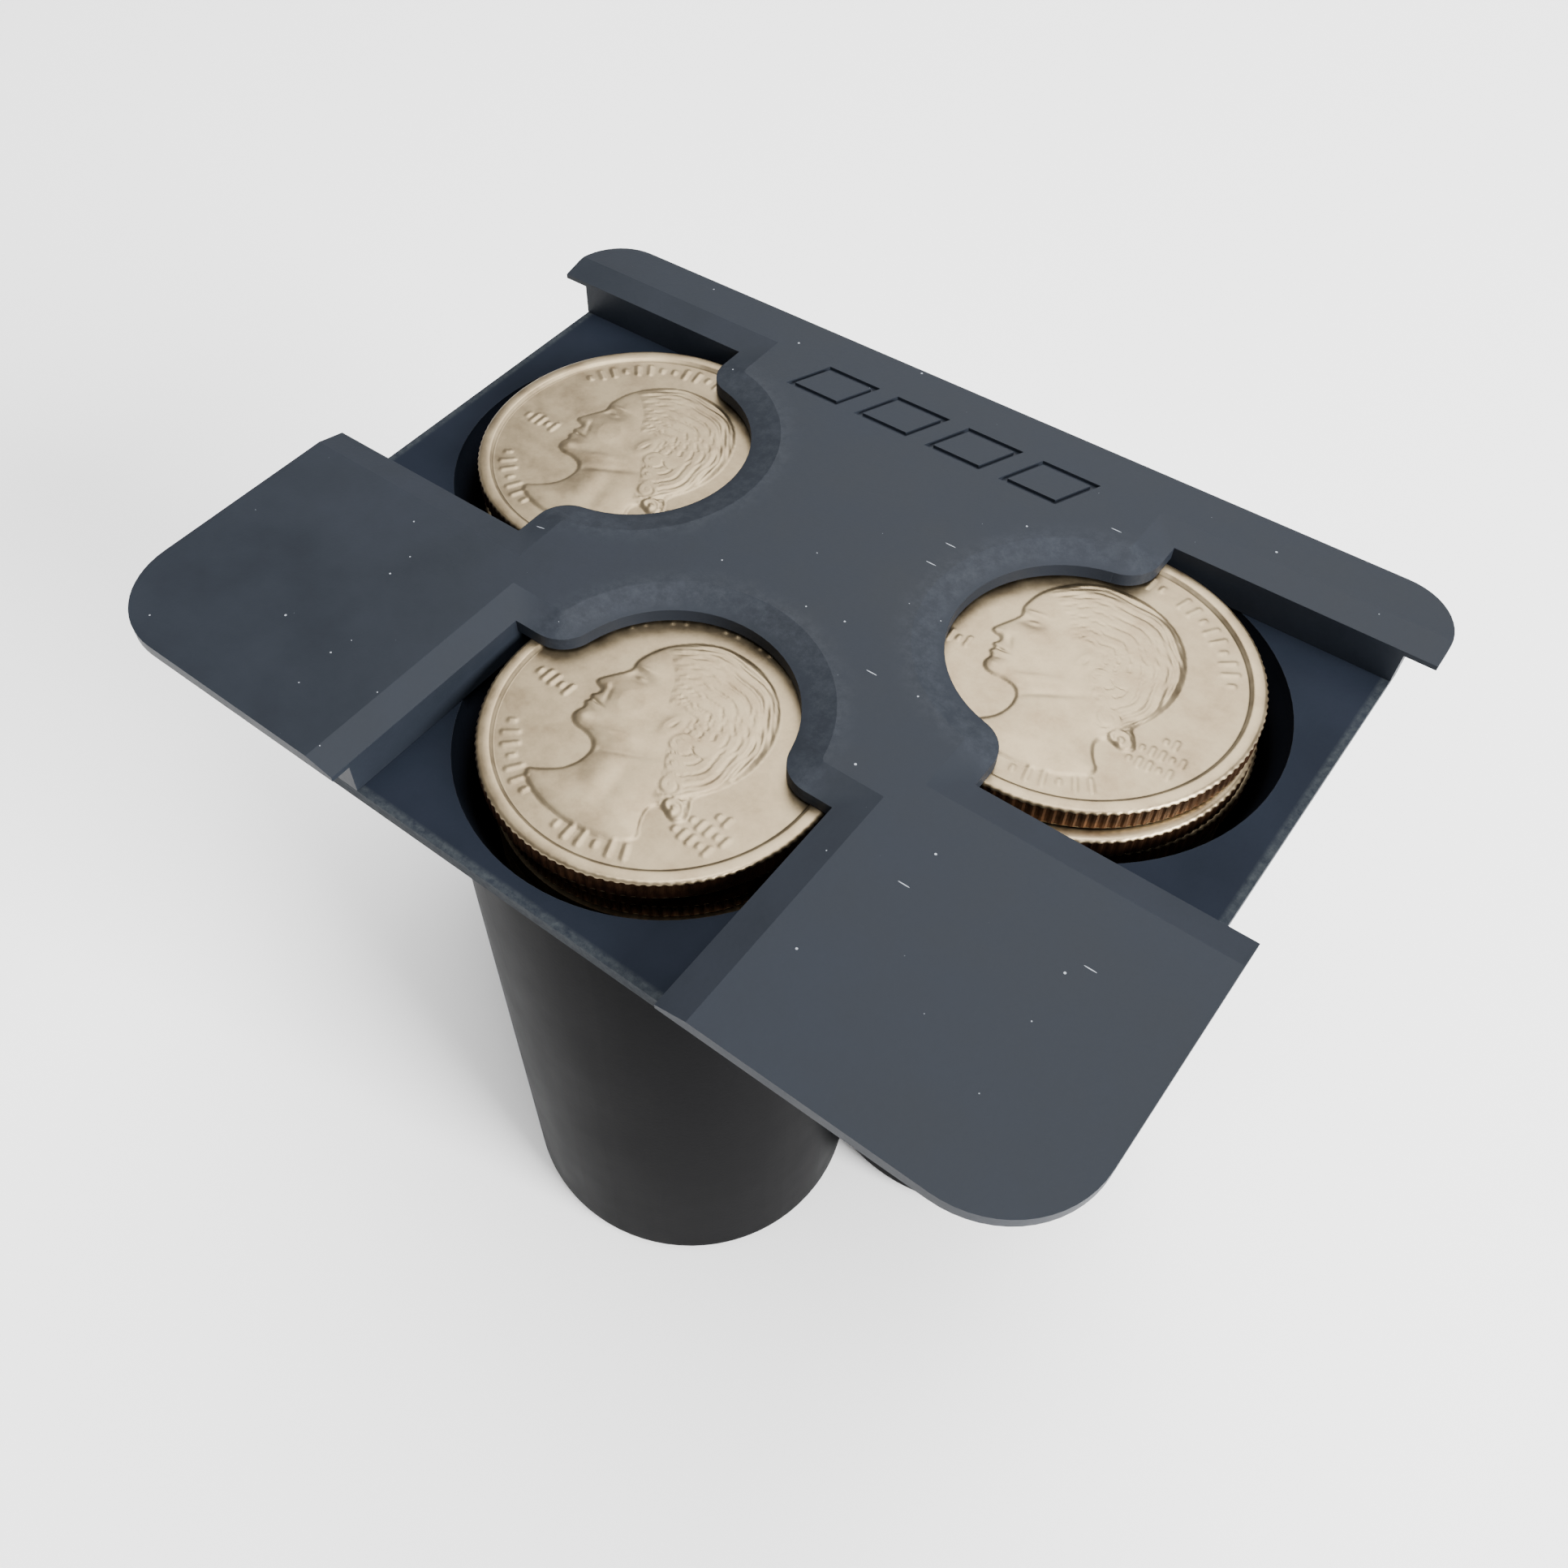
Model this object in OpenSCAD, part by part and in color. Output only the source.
// Three-tube coin display and dispensing tray.
// Millimetres, +Z up. The origin is under the middle of the plate, at the tube bottoms.
// +X runs along the straight back edge and +Y points at it; the wells open to -X, -Y and +X.

/* [Plate] */
// Width of the plate along X
plate_w = 74.2; // [70:0.1:92]
// Depth of the plate along Y
plate_d = 55.2; // [52:0.1:70]
// Height from the tube bottoms to the top face
total_h = 59; // [48:0.5:80]
// Radius of the two front corners
front_corner_r = 6.6; // [5:0.1:9]
// Radius of the two back corners
back_corner_r = 4.4; // [3.5:0.1:8]
// Thickness of the overhanging rim of the cover
rim_t = 0.9; // [0.7:0.05:1.2]
// How far the rim overhangs at the two sides
side_inset = 2.1; // [1:0.1:2.5]
// How far the rim overhangs at the front and back
end_inset = 1.4; // [1:0.1:1.8]

/* [Coin] */
// Coin diameter
coin_d = 24.26; // [20:0.01:24.6]
// Coin thickness
coin_t = 1.75; // [1.2:0.01:2.2]
// Coins below the top three in each tube
lower_count = 9; // [3:1:9]

/* [Wells] */
// Side wells, distance of the centre from the middle
side_x = 18.5; // [18.4:0.05:20]
// Side wells, centre in front of or behind the middle
side_y = 8.8; // [8.5:0.05:10]
// Front well, centre in front of the middle
front_y = 10.45; // [10.3:0.05:12]
// Radius of the finger notch
finger_r = 8.5; // [7:0.1:9.5]
// Rounding where the finger notch runs into the slot
lobe_r = 2.6; // [2.5:0.05:2.8]
// How far the ends of the lips stand out past the well centre
lip_past = 0.3; // [0:0.05:1]
// Thickness of the lips over the coin
lip_t = 1.5; // [1.3:0.05:2]
// Width of the chamfer round the openings
chamfer_w = 2.2; // [1.5:0.05:2.3]
// Depth of the chamfer round the openings
chamfer_h = 0.53; // [0.4:0.01:0.8]

/* [Tubes] */
// Thickness of the floor plate
floor_t = 1; // [0.9:0.1:2]
// How far the mouth in the floor is wider than the bore, on the radius
mouth_step = 1.25; // [0.6:0.05:1.35]
// Wall of the tubes under the floor
tube_wall_top = 1.75; // [1.65:0.05:2.4]
// Wall of the tubes at the bottom
tube_wall_bottom = 1.45; // [1.35:0.05:2.1]
// Rounding of the bottom edge
tube_edge_r = 1.8; // [1:0.1:2.5]
// Thickness of the tube bottoms
tube_floor = 2; // [1.5:0.1:3]
// Height of the spring seat
seat_h = 2; // [1:0.1:3]

/* [Pusher and spring] */
// Height of the pusher
pusher_h = 9; // [7:0.1:10]
// Thickness of the pusher top
pusher_top = 2; // [1.5:0.1:2.5]
// Wall of the pusher skirt
pusher_wall = 1.2; // [0.9:0.1:1.5]
// Radius of the spring wire
wire_r = 0.5; // [0.3:0.05:0.6]
// Turns of the spring
turns = 8; // [6:1:9]

/* [Fits] */
// Clearance round the coin in the slots and the coin pocket
slot_clear = 0.79; // [0.5:0.01:0.85]
// Clearance round the coins in the tubes
bore_clear = 0.92; // [0.7:0.01:0.95]
// Clearance round the pusher in its tube
pusher_clear = 0.45; // [0.35:0.05:0.8]
// Clearance round the spring in the skirt of the pusher
spring_clear = 0.8; // [0.6:0.05:1]
// Clearance of the spring round its seat
seat_clear = 0.6; // [0.4:0.05:1]
// Clearance above and below the top coin
coin_clear = 0.05; // [0.03:0.01:0.1]
// Gap under the top coin to the stack
stack_gap = 0.1; // [0.05:0.01:0.3]
// Gap between the coins of the stack
coin_gap = 0.03; // [0.02:0.01:0.1]
// Clearance round the locating pegs
peg_clear = 0.05; // [0.03:0.01:0.1]
// Gap of the seam between the cover and the base
seam = 0.04; // [0.02:0.01:0.1]

/* [Locating pegs and mark] */
// Radius of the locating pegs
peg_r = 1.2; // [0.8:0.1:1.5]
// Length of the mark on the back land
mark_w = 25; // [16:0.5:27]
// Height of the mark on the back land
mark_d = 3.6; // [2.5:0.1:3.8]
// Depth of the mark
mark_h = 0.25; // [0.15:0.05:0.4]
// Line width of the mark
mark_line = 0.4; // [0.3:0.05:0.6]

/* [Output] */
// Sub-part to show

/* [Hidden] */
$fn = 96;
over = 1;
// Half width of the slots and radius of the coin pocket
slot_half = coin_d / 2 + slot_clear;
// Radii of the tubes and of what runs in them
bore_r = coin_d / 2 + bore_clear;
mouth_r = bore_r + mouth_step;
tube_r_top = bore_r + tube_wall_top;
tube_r_bottom = bore_r + tube_wall_bottom;
pusher_r = bore_r - pusher_clear;
spring_r = pusher_r - pusher_wall - spring_clear - wire_r;
seat_r = spring_r - wire_r - seat_clear;
// Heights above the tube bottoms
z_top = total_h;
z_lip = z_top - lip_t;
z_coin = z_lip - coin_clear - coin_t;
z_floor = z_coin - coin_clear;
z_plate = z_floor - floor_t;
z_second = z_coin - stack_gap - coin_t;
pitch = coin_t + coin_gap;
z_stack = z_second - pitch * (lower_count + 1);
z_pusher = z_stack - coin_gap - pusher_h;
z_spring = tube_floor;
spring_h = z_pusher + pusher_h - pusher_top - z_spring;
// Slope of the chamfer, in millimetres outward for each millimetre up
slope = chamfer_w / chamfer_h;
rise = 0.05;
lobe_x = lip_past - lobe_r;
lobe_y = sqrt(pow(finger_r + lobe_r, 2) - pow(lobe_x, 2));
LEFT = [-side_x, side_y];
FRONT = [0, -front_y];
RIGHT = [side_x, side_y];
PLASTIC = [0.27, 0.30, 0.34];
BASE = [0.19, 0.20, 0.22];
STEEL = [0.62, 0.62, 0.60];
SILVER = [0.72, 0.69, 0.62];

// ---------- shared shapes ----------

// Plate outline, drawn in from the sides by ix and from the front and back by iy
module outline(ix, iy) {
  hw = plate_w / 2 - ix;
  hd = plate_d / 2 - iy;
  rf = front_corner_r - (ix + iy) / 2;
  rb = back_corner_r - (ix + iy) / 2;
  union() {
    polygon([
      [-hw, -hd + rf], [-hw + rf, -hd], [hw - rf, -hd], [hw, -hd + rf],
      [hw, hd - rb], [hw - rb, hd], [-hw + rb, hd], [-hw, hd - rb]
    ]);
    translate([-hw + rf, -hd + rf]) circle(rf);
    translate([hw - rf, -hd + rf]) circle(rf);
    translate([hw - rb, hd - rb]) circle(rb);
    translate([-hw + rb, hd - rb]) circle(rb);
  }
}

// Turns and moves a well drawn with its exit along +X
module at_well(centre, turn) {
  translate([centre[0], centre[1], 0]) rotate([0, 0, turn]) children();
}

// Land left of the rounded corner of a lip, seen from above
module lobe_land(side) {
  polygon([
    [-0.5, 0], [lobe_x, side * lobe_y], [lip_past + 0.5, side * lobe_y], [lip_past + 0.5, 0]
  ]);
}

// Straight part of the opening through the lips
module opening_straight() {
  translate([0, 0, z_lip - over]) cylinder(r = finger_r, h = lip_t + over * 2);
  translate([lip_past, -slot_half, z_lip - over]) cube([60, slot_half * 2, lip_t + over * 2]);
  for (side = [-1, 1]) {
    difference() {
      translate([0, 0, z_lip - over]) linear_extrude(lip_t + over * 2) lobe_land(side);
      translate([lobe_x, side * lobe_y, z_lip - over * 2]) cylinder(r = lobe_r, h = lip_t + over * 4);
    }
  }
}

// Chamfer round the opening, drawn a little past the top face
module opening_chamfer() {
  zb = z_top - chamfer_h;
  h = chamfer_h + rise;
  g = slope * h;
  translate([0, 0, zb]) cylinder(r1 = finger_r, r2 = finger_r + g, h = h);
  intersection() {
    translate([-20, 0, 0]) rotate([90, 0, 90]) linear_extrude(80)
      polygon([[-slot_half, zb], [slot_half, zb], [slot_half + g, zb + h], [-slot_half - g, zb + h]]);
    translate([0, 30, 0]) rotate([90, 0, 0]) linear_extrude(60)
      polygon([[lip_past, zb], [60, zb], [60, zb + h], [lip_past - g, zb + h]]);
  }
  for (side = [-1, 1]) {
    difference() {
      translate([0, 0, zb]) linear_extrude(h) lobe_land(side);
      translate([lobe_x, side * lobe_y, zb]) cylinder(r1 = lobe_r, r2 = lobe_r - g, h = h);
    }
  }
}

// Pocket and slot under the lips, in which the top coin lies and slides out
module coin_pocket() {
  translate([0, 0, z_floor - over]) cylinder(r = slot_half, h = z_lip - z_floor + over);
  translate([0, -slot_half, z_floor - over]) cube([60, slot_half * 2, z_lip - z_floor + over]);
}

module well_cut() {
  opening_straight();
  opening_chamfer();
  coin_pocket();
}

// Three places for the locating pegs
module peg_places() {
  for (p = [[-28, -17], [28, -17], [0, 21.5]]) translate([p[0], p[1], 0]) children();
}

// One slanted bar of the mark, drawn in by t on every side
module mark_bar(w, t) {
  h = mark_d / 2 - t;
  lean = 0.45 * h;
  polygon([[-w / 2 + t - lean, -h], [w / 2 - t - lean, -h], [w / 2 - t + lean, h], [-w / 2 + t + lean, h]]);
}

// Plain mark: four slanted bars in outline
module mark() {
  step = mark_w / 4;
  for (k = [-1.5, -0.5, 0.5, 1.5]) translate([k * step, 0]) difference() {
    mark_bar(step - 1.6, 0);
    mark_bar(step - 1.6, mark_line);
  }
}

module coin(z, dx, dy) {
  translate([dx, dy, z]) cylinder(d = coin_d, h = coin_t);
}

// Outer shape of one tube, with draft and a rounded bottom edge
module tube_outer() {
  rb = tube_r_bottom;
  e = tube_edge_r;
  rotate_extrude() union() {
    square([rb - e, e * 2]);
    translate([rb - e, e]) circle(e);
    polygon([[0, e], [rb, e], [tube_r_top, z_floor - floor_t / 2], [0, z_floor - floor_t / 2]]);
  }
}

// Inside of one tube: bore, funnel and mouth
module tube_inner() {
  translate([0, 0, tube_floor]) cylinder(r = bore_r, h = z_floor);
  translate([0, 0, z_floor - floor_t - 2.6]) cylinder(r1 = bore_r, r2 = mouth_r, h = 2.6);
  translate([0, 0, z_floor - floor_t]) cylinder(r = mouth_r, h = floor_t + over);
}

// Spring seat at the bottom of one tube
module tube_seat() {
  translate([0, 0, tube_floor - 0.5]) cylinder(r = seat_r, h = seat_h + 0.5);
}

// Pusher under one stack
module pusher() {
  difference() {
    translate([0, 0, z_pusher]) cylinder(r = pusher_r, h = pusher_h);
    translate([0, 0, z_pusher - over]) cylinder(r = pusher_r - pusher_wall, h = pusher_h - pusher_top + over);
  }
  translate([0, 0, z_pusher + pusher_h - pusher_top - 1.5]) cylinder(r = seat_r, h = 1.6);
}

// Sides round the wire and steps round a turn
WIRE = 6;
STEPS = 12;
function coil_z(i) = z_spring + 0.02 + wire_r + (spring_h - 0.04 - 2 * wire_r) * i / (turns * STEPS);
function coil_point(i, k) = [
  (spring_r + wire_r * cos(360 * k / WIRE)) * cos(360 * i / STEPS),
  (spring_r + wire_r * cos(360 * k / WIRE)) * sin(360 * i / STEPS),
  coil_z(i) + wire_r * sin(360 * k / WIRE)
];

module spring() {
  n = turns * STEPS;
  points = [for (i = [0:n]) for (k = [0:WIRE - 1]) coil_point(i, k)];
  sides = [for (i = [0:n - 1]) for (k = [0:WIRE - 1])
    [i * WIRE + k, (i + 1) * WIRE + k, (i + 1) * WIRE + (k + 1) % WIRE, i * WIRE + (k + 1) % WIRE]];
  first = [for (k = [0:WIRE - 1]) k];
  last = [for (k = [WIRE - 1:-1:0]) n * WIRE + k];
  polyhedron(points = points, faces = concat(sides, [first], [last]), convexity = 10);
}

module lower_coins() {
  for (i = [0:lower_count - 1]) coin(z_second - pitch * (i + 2), 0, 0);
}

// ---------- fixed parts ----------

module top_cover() color(PLASTIC) {
  difference() {
    union() {
      translate([0, 0, z_top - rim_t]) linear_extrude(rim_t) outline(0, 0);
      translate([0, 0, z_floor + seam]) linear_extrude(z_top - z_floor - seam - rim_t / 2)
        outline(side_inset, end_inset);
    }
    at_well(LEFT, 180) well_cut();
    at_well(FRONT, -90) well_cut();
    at_well(RIGHT, 0) well_cut();
    translate([-0.6, 22, z_top - mark_h]) linear_extrude(mark_h + over) mark();
  }
  peg_places() translate([0, 0, z_plate + 0.1]) cylinder(r = peg_r, h = z_floor - z_plate + 0.5);
}

module tube_base() color(BASE) {
  difference() {
    union() {
      translate([0, 0, z_plate]) linear_extrude(floor_t) outline(side_inset, end_inset);
      translate([LEFT[0], LEFT[1], 0]) tube_outer();
      translate([FRONT[0], FRONT[1], 0]) tube_outer();
      translate([RIGHT[0], RIGHT[1], 0]) tube_outer();
    }
    translate([LEFT[0], LEFT[1], 0]) tube_inner();
    translate([FRONT[0], FRONT[1], 0]) tube_inner();
    translate([RIGHT[0], RIGHT[1], 0]) tube_inner();
    peg_places() translate([0, 0, z_plate - over]) cylinder(r = peg_r + peg_clear, h = floor_t + over * 2);
  }
  translate([LEFT[0], LEFT[1], 0]) tube_seat();
  translate([FRONT[0], FRONT[1], 0]) tube_seat();
  translate([RIGHT[0], RIGHT[1], 0]) tube_seat();
}

// ---------- left tube ----------

module pusher_left() color(BASE) translate([LEFT[0], LEFT[1], 0]) pusher();
module spring_left() color(STEEL) translate([LEFT[0], LEFT[1], 0]) spring();
module top_coin_left() color(SILVER) translate([LEFT[0], LEFT[1], 0]) coin(z_coin, -0.15, 0);
module second_coin_left() color(SILVER) translate([LEFT[0], LEFT[1], 0]) coin(z_second, 0.2, 0.2);
module third_coin_left() color(SILVER) translate([LEFT[0], LEFT[1], 0]) coin(z_second - pitch, -0.2, 0.1);
module lower_coins_left() color(SILVER) translate([LEFT[0], LEFT[1], 0]) lower_coins();

// ---------- front tube ----------

module pusher_front() color(BASE) translate([FRONT[0], FRONT[1], 0]) pusher();
module spring_front() color(STEEL) translate([FRONT[0], FRONT[1], 0]) spring();
module top_coin_front() color(SILVER) translate([FRONT[0], FRONT[1], 0]) coin(z_coin, 0.25, -0.83);
module second_coin_front() color(SILVER) translate([FRONT[0], FRONT[1], 0]) coin(z_second, 0.3, -0.1);
module third_coin_front() color(SILVER) translate([FRONT[0], FRONT[1], 0]) coin(z_second - pitch, -0.1, 0.2);
module lower_coins_front() color(SILVER) translate([FRONT[0], FRONT[1], 0]) lower_coins();

// ---------- right tube ----------

module pusher_right() color(BASE) translate([RIGHT[0], RIGHT[1], 0]) pusher();
module spring_right() color(STEEL) translate([RIGHT[0], RIGHT[1], 0]) spring();
module top_coin_right() color(SILVER) translate([RIGHT[0], RIGHT[1], 0]) coin(z_coin, 0, 0.35);
module second_coin_right() color(SILVER) translate([RIGHT[0], RIGHT[1], 0]) coin(z_second, 0.3, -0.4);
module third_coin_right() color(SILVER) translate([RIGHT[0], RIGHT[1], 0]) coin(z_second - pitch, 0.5, 0.1);
module lower_coins_right() color(SILVER) translate([RIGHT[0], RIGHT[1], 0]) lower_coins();

top_cover();
tube_base();
pusher_left();
spring_left();
top_coin_left();
second_coin_left();
third_coin_left();
lower_coins_left();
pusher_front();
spring_front();
top_coin_front();
second_coin_front();
third_coin_front();
lower_coins_front();
pusher_right();
spring_right();
top_coin_right();
second_coin_right();
third_coin_right();
lower_coins_right();
